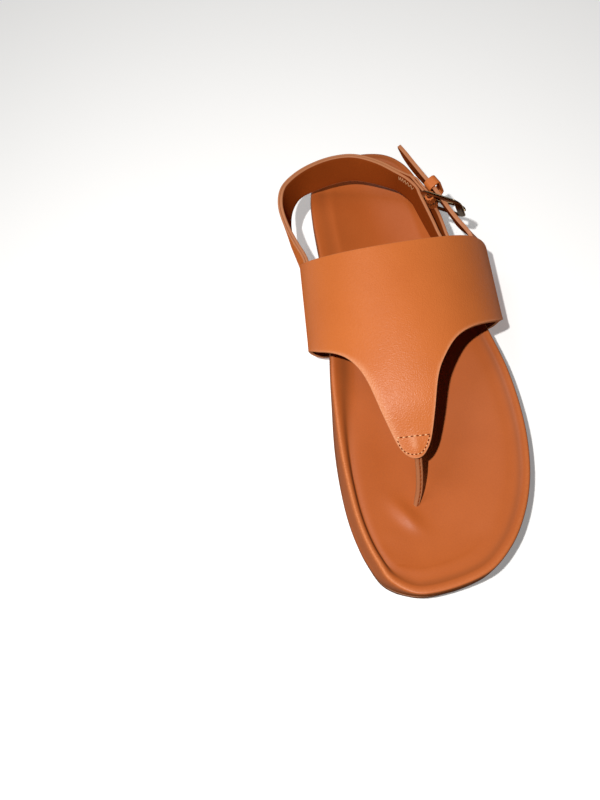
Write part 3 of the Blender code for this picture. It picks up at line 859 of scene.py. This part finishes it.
def spans_of(points, pitch, start, share):
    """The stretch from start over a share of every pitch along a run of points."""
    points = np.asarray(points, float)
    along = np.concatenate([[0.0], np.cumsum(np.linalg.norm(np.diff(points, axis=0), axis=1))])
    count = round(along[-1] / pitch)
    spans = []
    for i in range(count):
        ends = np.array([i + start, i + start + share]) * along[-1] / count
        spans.append(np.column_stack([np.interp(ends, along, points[:, k]) for k in range(3)]))
    return spans


def beads(name, skin, spans, width, height, finish):
    """Oval beads on a piece's skin, one to a span: threads if high, painted hole shade if flat."""
    bm = bmesh.new()
    for start, end in spans:
        start, end = Vector(start), Vector(end)
        middle, up = skin.find_nearest((start + end) / 2)[:2]
        along = (end - start) - up * (end - start).dot(up)
        along_unit = along.normalized()
        axes = Matrix((along_unit, up.cross(along_unit), up)).transposed().to_4x4()
        size = Matrix.Diagonal((along.length / 2, width / 2, height, 1.0))
        place = Matrix.Translation(middle) @ axes @ size
        bmesh.ops.create_uvsphere(bm, u_segments=10, v_segments=6, radius=1.0, matrix=place)
    obj = new_object(name, bm)
    obj.data.materials.append(finish)
    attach(obj, "root")


rows = []
for i in range(VAMP_ROWS + 1):
    share = i / VAMP_ROWS
    inner = tuck_points(0, 0.0, VAMP_EDGES[0][2], share)
    outer = tuck_points(1, OUTER_SET_BACK, VAMP_EDGES[-1][2], share)
    top = [vamp_point(x, front + (back - front) * share) for x, front, back in VAMP_EDGES]
    rows.append(inner + top + outer[::-1])
vamp = leather("vamp", rows, LEATHER, 2, HIDE)
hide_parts("upper")

# The front edge gets a paler line, partly the painted cut edge and partly a painted highlight; the
# band along the tongue's big-toe side and the post's end get painted highlights only.
pale_edge_run = smooth([row[:2] for row in VAMP_EDGES], 20)
pale_edge_and_highlight_spots = [(vamp_point(x, q), *rows_at(PALE_EDGE_PLUS_HIGHLIGHT, x)) for x, q in pale_edge_run]
pale_edge_and_highlight_spots += [(vamp_point(*spot), 0.75, 1.3) for spot in smooth(BULGE_HIGHLIGHT, 6)]
mark_near(vamp, "pale_edge_and_highlight", pale_edge_and_highlight_spots)
vamp_skin = skin_of(vamp)
d_row = [vamp_point(x, q) for x, q in smooth(D_ROW, 8)]
d_curve = [vamp_point(x, q) for x, q in smooth(D_CURVE, 6)]
for name, seam, pitch, start, share, width, height, finish in (
    ("tongue_row_thread", d_row, D_ROW_PITCH, 0.0, 0.42, 0.62, 0.2, THREAD),
    ("tongue_row_hole_shade", d_row, D_ROW_PITCH, 0.44, 0.54, 0.6, 0.05, HOLE_SHADE),
    ("tongue_curve_thread", d_curve, D_CURVE_PITCH, 0.0, 0.4, 0.5, 0.14, THREAD),
    ("tongue_curve_hole_shade", d_curve, D_CURVE_PITCH, 0.42, 0.56, 0.62, 0.05, HOLE_SHADE),
):
    beads(name, vamp_skin, spans_of(seam, pitch, start, share), width, height, finish)

# ---------------------------------------------------------------- toe post
# A narrow strip folded double and sewn down its middle, its upper end sewn under the tongue
# and its lower end let into the footbed.
POST = (  # x, y, z, half width, half depth
    (1.4, -62.5, 38.6, 1.9, 2.2),
    (1.35, -67.5, 33.4, 1.75, 2.1),
    (1.05, -74.0, 27.6, 1.7, 2.1),
    (-0.1, -80.5, 22.0, 1.6, 2.0),
    (-2.3, -86.3, 17.5, 1.35, 1.7),
    (-4.0, -90.8, 13.2, 1.0, 1.4),
)
SEAM_ANGLE = math.radians(-72.0)
SEAM_WIDTH = 0.34
SEAM_DEPTH = 0.34
SEAM_PITCH = 2.2
POST_SIDES = 40
POST_STEPS = 8  # steps between two rows of the post
SEAM_ENDS = 6  # steps left without a seam at each end
POST_CORNER = math.radians(60.0)


def post_point(x, y, z, wide, deep, angle):
    """A point on the post's skin, drawn in along the seam."""
    off = (angle - SEAM_ANGLE + math.pi) % (2 * math.pi) - math.pi
    pinch = 1.0 - SEAM_DEPTH * math.exp(-((off / SEAM_WIDTH) ** 2))
    return (x + wide * pinch * math.cos(angle), y + deep * pinch * math.sin(angle), z)


turns = [2 * math.pi * i / POST_SIDES for i in range(POST_SIDES)]
post_run = smooth(POST, POST_STEPS)
post = solid("toe_post_strip", [[post_point(*row, angle) for angle in turns] for row in post_run])
post.data.set_sharp_from_angle(angle=POST_CORNER)
post.data.materials.append(
    finish_of(
        "folded_strip",
        dark=(0.33, 0.115, 0.047),
        light=(0.4, 0.145, 0.06),
        roughness=0.5,
        grain=0.5,
        relief=0.6,
    )
)
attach(post, "root")
seam_line = [post_point(*row, SEAM_ANGLE) for row in post_run[SEAM_ENDS:-SEAM_ENDS]]
post_skin = skin_of(post)
beads("post_seam", post_skin, spans_of(seam_line, SEAM_PITCH, 0.0, 1.0), 1.0, 0.3, LINING)
beads("post_thread", post_skin, spans_of(seam_line, SEAM_PITCH, 0.3, 0.3), 0.4, 0.18, THREAD)

# ---------------------------------------------------------------- straps
# Lined straps with painted edges: the heel strap, the branch that ties it to the vamp low
# down, and the strap from inside the vamp's outer corner that the buckle takes up.
HEEL_STRAP = (  # low edge x, y, z, then top edge x, y, z
    (-46.0, 46.0, 14.5, -43.2, 44.0, 31.0),
    (-46.1, 55.0, 16.0, -43.0, 53.0, 33.0),
    (-48.2, 64.0, 18.6, -47.2, 62.5, 35.6),
    (-50.5, 73.0, 22.0, -51.0, 72.0, 39.0),
    (-51.0, 83.0, 25.0, -53.3, 83.5, 42.5),
    (-48.6, 92.5, 27.0, -51.2, 94.0, 44.5),
    (-42.5, 100.6, 28.0, -44.6, 101.4, 45.0),
    (-32.5, 104.4, 28.0, -34.0, 107.4, 45.0),
    (-20.0, 106.6, 28.5, -20.5, 110.6, 45.0),
    (-8.0, 106.0, 29.0, -7.0, 109.4, 45.0),
    (4.0, 100.8, 29.4, 5.5, 102.4, 45.0),
    (13.4, 94.4, 30.6, 14.8, 93.2, 45.8),
    (19.8, 89.0, 33.0, 20.4, 87.4, 46.8),
)
BRANCH = (  # low edge x, y, z, then top edge x, y, z
    (15.4, 91.6, 30.2, 16.4, 90.4, 45.3),
    (18.8, 87.9, 29.6, 20.0, 86.6, 45.0),
    (22.6, 82.2, 28.6, 24.1, 80.6, 44.2),
    (24.0, 78.0, 28.0, 25.2, 76.4, 43.2),
    (26.6, 69.2, 27.0, 28.0, 66.9, 41.0),
    (28.8, 62.2, 26.2, 30.2, 59.9, 38.8),
    (31.4, 55.2, 25.2, 32.2, 53.2, 36.8),
    (36.8, 44.2, 24.6, 36.8, 41.8, 34.2),
    (44.8, 33.5, 23.6, 44.2, 31.5, 33.0),
    (51.8, 24.0, 22.6, 50.8, 22.5, 31.6),
    (56.2, 14.5, 21.6, 54.1, 13.5, 30.6),
    (56.4, 8.0, 20.8, 54.4, 7.0, 29.6),
)
OUTER_PLY = (  # low edge x, y, z, then top edge x, y, z
    (31.0, 76.4, 27.4, 32.6, 72.6, 36.4),
    (32.3, 70.3, 27.2, 33.9, 66.7, 37.2),
    (33.7, 63.5, 26.6, 35.2, 59.7, 36.4),
    (35.9, 55.3, 25.8, 36.6, 51.7, 35.3),
    (40.2, 46.4, 25.2, 40.2, 44.0, 34.2),
    (46.9, 35.6, 24.2, 46.7, 33.6, 32.6),
)
HEEL_PLY = 1.2
LINING_PLY = 1.7
BAR = Vector((30.0, 71.5, 41.9))
RUN = Vector((-0.43, 0.9, 0.05)).normalized()
UPRIGHT = Vector((-0.27, -0.16, 0.95))
UP = (UPRIGHT - RUN * UPRIGHT.dot(RUN)).normalized()
OUT = RUN.cross(UP)
TAB_HALF = 6.0
TAB = ((14.0, 5.4), (10.0, 5.2), (5.0, 5.4), (0.0, 6.0))  # along the run, height of the top edge
TAB_GAP = 0.05  # between the two plies of the tab
TURNED_BACK = (  # along the run, low edge and top edge of the end that comes back from the bar
    (19.0, -5.0, 4.6),
    (14.0, -5.8, 5.0),
    (7.0, -TAB_HALF, 5.2),
    (0.0, -TAB_HALF, 5.8),
)
BUCKLE_STRAP = (  # along the run from the bar, outward at low and at top edge, up, half width
    (34.5, 5.2, 5.4, 6.6, 1.2),
    (29.0, 4.4, 5.4, 4.6, 4.0),
    (21.0, 4.3, 5.4, 2.0, 5.2),
    (12.0, 5.0, 5.4, 0.1, 5.5),
    (2.0, 5.3, 5.4, 0.0, 5.5),
    (-6.0, 4.9, 4.9, 0.0, 5.5),
    (-14.0, 4.3, 4.3, 0.0, 5.5),
    (-21.0, 4.1, 4.1, 0.0, 5.5),
)
BUCKLE_STRAP_FOOT = (  # low edge x, y, z, then top edge x, y, z
    (51.9, 47.5, 33.6, 46.2, 46.2, 43.6),
    (53.3, 40.0, 32.0, 46.4, 38.6, 43.0),
    (53.8, 32.0, 31.4, 46.7, 30.0, 42.4),
)
BUCKLE_LEATHER = 2.0
HOLES = (-7.1, 9.0, 16.5, 24.0)  # along the run
HOLE_RADIUS = 1.15
HOLE_MIDDLE = 4.0  # outward from the bar
HOLE_REACH = 12.0
END_RISE = (12.0, 0.22)  # where along the run the strap's end begins to rise, and its slope
ZIGZAG = (11.9, 13.8, 6)  # first and last place along the branch, number of stitches
ZIGZAG_TURNS = ((0.9, 0.0), (0.7, 0.5), (0.9, 1.0))  # share of the width, share of a stitch
ZIGZAG_DEPTH = 0.4
STRAP_STEPS = 4  # steps between two rows of a strap
STRAP_COLUMNS = 5


def in_buckle(along, outward, up):
    """A point of the buckle's own frame: back along the run, outward and up from the bar."""
    return BAR + RUN * along + OUT * outward + UP * up


def strap_rows(edges):
    """Rows across a strap from its low edge to its top edge."""
    last = STRAP_COLUMNS - 1
    rows = []
    for row in smooth(edges, STRAP_STEPS):
        low, across = row[:3], row[3:] - row[:3]
        rows.append([low + across * i / last for i in range(STRAP_COLUMNS)])
    return rows


def crossing(along, low_out, top_out, up, half):
    """A strap row given in the buckle's own frame."""
    return (*in_buckle(along, low_out, up - half), *in_buckle(along, top_out, up + half))


def strap_spot(edges, at, share, depth):
    """A point a little behind a strap's outer face, at a place along it and a share across it."""
    edges = np.asarray(edges, float)
    keyed = np.column_stack([np.arange(len(edges)), edges])
    row, ahead = rows_at(keyed, at), rows_at(keyed, at + 0.05)
    across = row[3:] - row[:3]
    inward = np.cross(ahead[:3] - row[:3], across)
    return row[:3] + across * share + inward / np.linalg.norm(inward) * depth


tab = []
for along, top in TAB:
    tab.append((*in_buckle(along, HEEL_PLY, -TAB_HALF), *in_buckle(along, HEEL_PLY, top)))
turned_back = []
for along, low, top in TURNED_BACK:
    turned_back.append((*in_buckle(along, -TAB_GAP, low), *in_buckle(along, -TAB_GAP, top)))
lining = []
for i in range(len(HEEL_STRAP) - 1):
    low, top = (strap_spot(HEEL_STRAP, i, share, HEEL_PLY) for share in (0.0, 1.0))
    lining.append((*low, *top))
lining.extend(BRANCH)
leather("heel_strap", strap_rows(HEEL_STRAP + tuple(tab)), HEEL_PLY, 1, HIDE, 0.4)
leather("strap_end_turned_back", strap_rows(turned_back), HEEL_PLY, 1, HIDE, 0.4)
branch = leather("lining_ply_and_branch", strap_rows(lining), LINING_PLY, 1, HIDE)
leather("branch_outer_ply", strap_rows(OUTER_PLY), LINING_PLY, 1, HIDE)

stitches = []
step = (ZIGZAG[1] - ZIGZAG[0]) / ZIGZAG[2]
for i in range(ZIGZAG[2]):
    corners = []
    for share, lead in ZIGZAG_TURNS:
        at = ZIGZAG[0] + (i + lead) * step
        corners.append(strap_spot(lining, at, share, LINING_PLY + ZIGZAG_DEPTH))
    stitches.extend(zip(corners, corners[1:]))
beads("branch_zigzag", skin_of(branch), stitches, 0.4, 0.2, THREAD)

run = tuple(crossing(*row) for row in BUCKLE_STRAP)
run_rows = strap_rows(run + BUCKLE_STRAP_FOOT)
buckle_strap = leather("buckle_strap", run_rows, BUCKLE_LEATHER, 1, HIDE)
punches = bmesh.new()
for along in HOLES:
    middle = in_buckle(along, HOLE_MIDDLE, max(0.0, END_RISE[1] * (along - END_RISE[0])))
    axes = Matrix((RUN, UP, RUN.cross(UP))).transposed().to_4x4()
    bmesh.ops.create_cone(
        punches,
        cap_ends=True,
        segments=20,
        radius1=HOLE_RADIUS,
        radius2=HOLE_RADIUS,
        depth=HOLE_REACH,
        matrix=Matrix.Translation(middle) @ axes,
    )
punch = new_object("punches", punches)
punch.data.materials.append(HOLE_SHADE)
cut = buckle_strap.modifiers.new("Holes", "BOOLEAN")
cut.operation = "DIFFERENCE"
cut.solver = "EXACT"
cut.object = punch
# the holes' walls take the painted hole shade
cut.material_mode = "TRANSFER"
settled(buckle_strap)
bpy.data.objects.remove(punch)

# ---------------------------------------------------------------- buckle
# A flat frame of polished brass, a round bar across its near end, and a wire prong whose eye
# turns on the bar. The prong's tip rests on the frame's far end.
FRAME_NEAR = 2.6
FRAME_FAR = -14.8
FRAME_HALF = 8.4
FRAME_LIFT = 0.5
FRAME_BROAD = 2.0
FRAME_THICK = 0.85
BAR_RADIUS = 1.15
FRAME_SLOPE = 0.53
FRAME_CORNER = 3.0
CORNER_STEPS = 10
BAR_PLAY = 0.3
PRONG_RADIUS = 0.8
PRONG_PLAY = 0.1
PRONG_STEPS = 4
EYE_RADIUS = 0.6


def wire(name, points, radius, closed):
    """A round wire along a run of points; radius may be one size or one for each point."""
    curve = bpy.data.curves.new(name, "CURVE")
    curve.dimensions = "3D"
    curve.bevel_depth = MM
    curve.bevel_resolution = 6
    curve.use_fill_caps = True
    spline = curve.splines.new("POLY")
    spline.points.add(len(points) - 1)
    sizes = np.broadcast_to(radius, len(points))
    for knot, point, size in zip(spline.points, points, sizes):
        knot.co = (*((Vector(point) + Vector((AXIS_X, 0.0, 0.0))) * MM), 1.0)
        knot.radius = size
    spline.use_cyclic_u = closed
    guide = bpy.data.objects.new(name, curve)
    mesh = bpy.data.meshes.new_from_object(guide)
    bpy.data.objects.remove(guide)
    mesh.shade_smooth()
    obj = bpy.data.objects.new(name, mesh)
    bpy.context.scene.collection.objects.link(obj)
    return obj


def rounded(centre, half, corner, steps):
    """A rounded rectangle as plane points, anticlockwise from its lower right corner."""
    points = []
    for turn, (sx, sy) in enumerate(((1, -1), (1, 1), (-1, 1), (-1, -1))):
        for step in range(steps + 1):
            angle = math.pi / 2 * (turn - 1 + step / steps)
            x = centre[0] + sx * (half[0] - corner) + corner * math.cos(angle)
            y = centre[1] + sy * (half[1] - corner) + corner * math.sin(angle)
            points.append((x, y))
    return points


brass = finish_of(
    "brass",
    dark=(0.17, 0.115, 0.06),
    light=(0.24, 0.165, 0.09),
    roughness=0.16,
    grain=0.6,
    relief=0.05,
    shine=0.0,
)
brass.node_tree.nodes["Principled BSDF"].inputs["Metallic"].default_value = 1.0

middle = ((FRAME_NEAR + FRAME_FAR) / 2, FRAME_LIFT)
frame_rings = []
for angle in turns:
    grow = FRAME_BROAD * math.cos(angle)
    half = ((FRAME_NEAR - FRAME_FAR) / 2 + grow, FRAME_HALF + grow)
    track = rounded(middle, half, FRAME_CORNER + grow, CORNER_STEPS)
    out = FRAME_THICK * math.sin(angle)
    frame_rings.append([in_buckle(x, out - FRAME_SLOPE * x, y) for x, y in track])
buckle_frame = solid("brass_frame", frame_rings + frame_rings[:1])
bar_ends = [in_buckle(0, 0, up) for up in (-FRAME_HALF, FRAME_HALF)]
bar = wire("brass_bar", bar_ends, BAR_RADIUS, False)
bar.data.materials.append(brass)
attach(bar, "root")
buckle_frame.data.materials.append(brass)
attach(buckle_frame, "root")
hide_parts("buckle_frame")

eye_reach = BAR_RADIUS + BAR_PLAY + EYE_RADIUS
lift = -FRAME_SLOPE * FRAME_FAR + FRAME_THICK + PRONG_RADIUS + PRONG_PLAY
PRONG = (  # along, outward, radius
    (-0.4, eye_reach, 0.75),
    (-3.0, eye_reach + 0.4, 0.8),
    (-7.0, lift - 4.2, 0.8),
    (-11.0, lift - 1.6, 0.78),
    (-14.6, lift, 0.74),
    (-16.4, lift, 0.62),
    (-17.2, lift - 0.1, 0.3),
)
prong_run = np.array(smooth(PRONG, PRONG_STEPS))
prong_path = [in_buckle(along, outward, 0.0) for along, outward in prong_run[:, :2]]
prong = wire("brass_prong", prong_path, prong_run[:, 2], False)
eye_path = [
    in_buckle(eye_reach * math.cos(angle), eye_reach * math.sin(angle), 0.0) for angle in turns
]
eye = wire("prong_eye", eye_path, EYE_RADIUS, True)
for piece in (prong, eye):
    piece.data.materials.append(brass)
    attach(piece, "root")
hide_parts("buckle_prong")

# ---------------------------------------------------------------- keeper
# A wide loop of the same leather, joined on its hidden side, that slides on the buckle strap
# and holds down its end.
KEEPER_ALONG = (2.3, 8.0)
KEEPER_OUTWARD = (2.65, 7.6)
KEEPER_HALF = 5.9
KEEPER_WALL = 1.1
KEEPER_CORNER = 1.2
KEEPER_STEPS = 8
KEEPER_SOFTNESS = 0.4

half = ((KEEPER_OUTWARD[1] - KEEPER_OUTWARD[0]) / 2, KEEPER_HALF)
middle = (KEEPER_OUTWARD[0] + half[0], 0.0)
loops = []
for grow, end in ((0, 0), (KEEPER_WALL, 0), (KEEPER_WALL, 1), (0, 1), (0, 0)):
    outline = rounded(middle, (half[0] + grow, half[1] + grow), KEEPER_CORNER + grow, KEEPER_STEPS)
    loops.append([in_buckle(KEEPER_ALONG[end], x, y) for x, y in outline])
keeper = solid("keeper_loop", loops)
soften = keeper.modifiers.new("Round edge", "BEVEL")
soften.width = KEEPER_SOFTNESS * MM
soften.segments = 3
soften.limit_method = "ANGLE"
soften.angle_limit = math.radians(50.0)
keeper.data.materials.append(TAN)
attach(keeper, "root")
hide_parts("strap_keeper")

# ---------------------------------------------------------------- fold round the bar
# The heel strap's end where it turns round the buckle's bar, gathered into fine pleats, with a
# dark cylinder in the bore that the bar runs through: painted shade.
FOLD_RADIUS = 2.5
FOLD_HALF = 0.95 * TAB_HALF
FOLD_STEPS = 32
FOLD_SIDES = 160
FOLD_CORNER = math.radians(50.0)
PLEAT_DEPTH = 0.13
BORE_HALF = 0.96 * TAB_HALF
BORE_RADIUS = 1.6


def pleated(angle, up):
    """A point on the fold's skin, its pleats wandering a little along the bar."""
    coarse = math.sin(11 * angle + 1.4 * math.sin(0.55 * up))
    fine = 0.7 * math.sin(17 * angle - 0.5 * up)
    out = FOLD_RADIUS + PLEAT_DEPTH * (coarse + fine)
    return in_buckle(out * math.cos(angle), out * math.sin(angle), up)


pleats = [2 * math.pi * i / FOLD_SIDES for i in range(FOLD_SIDES)]
levels = [FOLD_HALF * (2 * step / FOLD_STEPS - 1) for step in range(FOLD_STEPS + 1)]
fold = solid("strap_fold", [[pleated(angle, up) for angle in pleats] for up in levels])
fold.data.set_sharp_from_angle(angle=FOLD_CORNER)
bore_ends = [in_buckle(0, 0, up) for up in (-BORE_HALF, BORE_HALF)]
bore_shade = wire("fold_bore_shade", bore_ends, BORE_RADIUS, False)
for piece, finish in ((fold, TAN), (bore_shade, HOLE_SHADE)):
    piece.data.materials.append(finish)
    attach(piece, "root")
